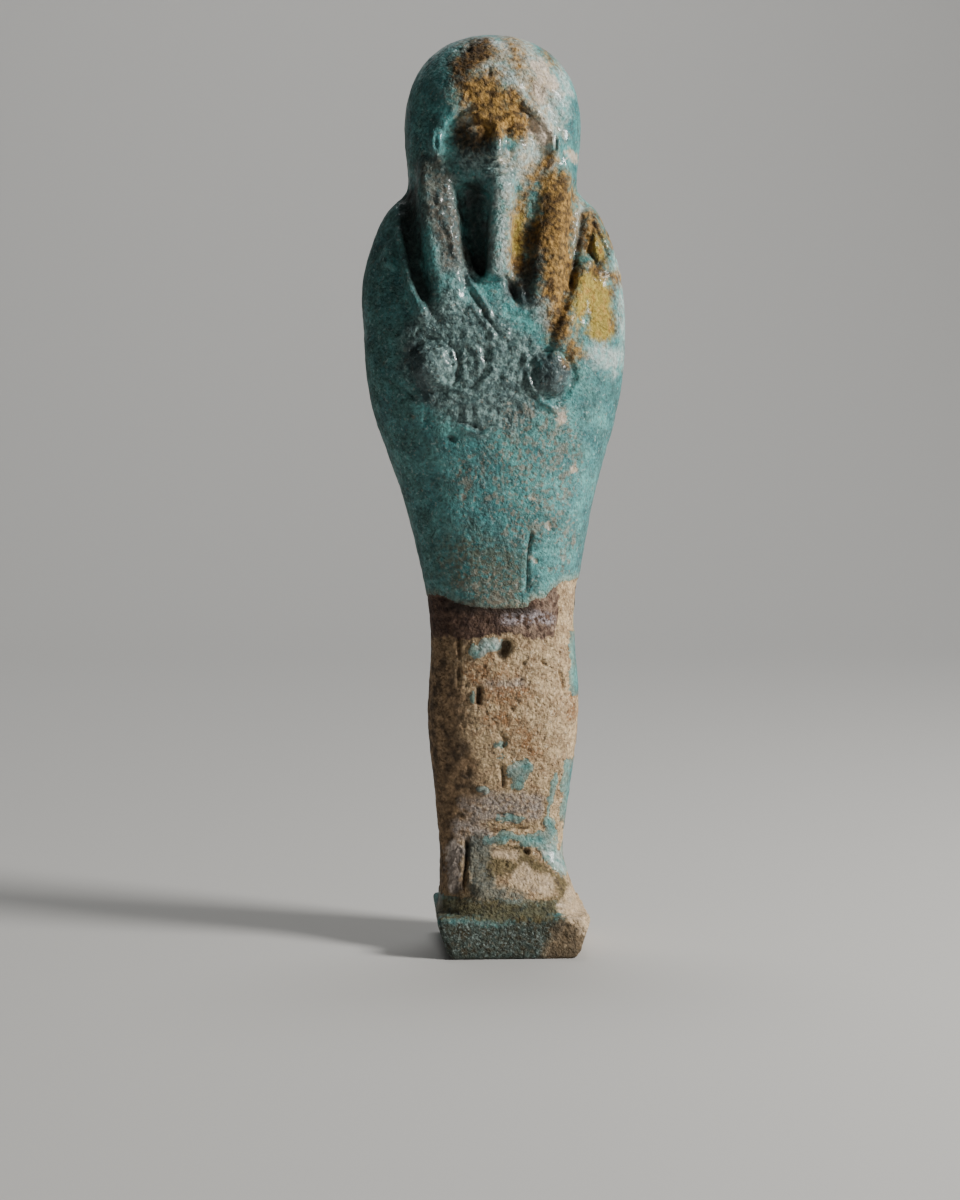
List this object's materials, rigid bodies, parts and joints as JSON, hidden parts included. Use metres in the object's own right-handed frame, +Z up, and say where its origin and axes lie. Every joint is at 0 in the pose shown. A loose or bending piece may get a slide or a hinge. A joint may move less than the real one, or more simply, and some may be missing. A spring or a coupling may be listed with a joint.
{
  "type": "ushabti figurine",
  "caption": "Small mummiform tomb figure in worn turquoise faience, with a plain wig, false beard, fists with tools, a low foot base and a back pillar.",
  "frame": {"origin": "middle of the flat sole, on the surface that the figure stands on", "axes": "+Z up along the figure, the face looks towards -Y, +X to the viewer's right as one faces it"},
  "size_m": [0.0342, 0.0213, 0.118],
  "materials": {
    "faience": "worn turquoise glaze, lost below the knees over a sandy core, with ochre deposits on the head"
  },
  "bodies": {
    "root": {"ushabti_figure": "faience"}
  },
  "joints": []
}
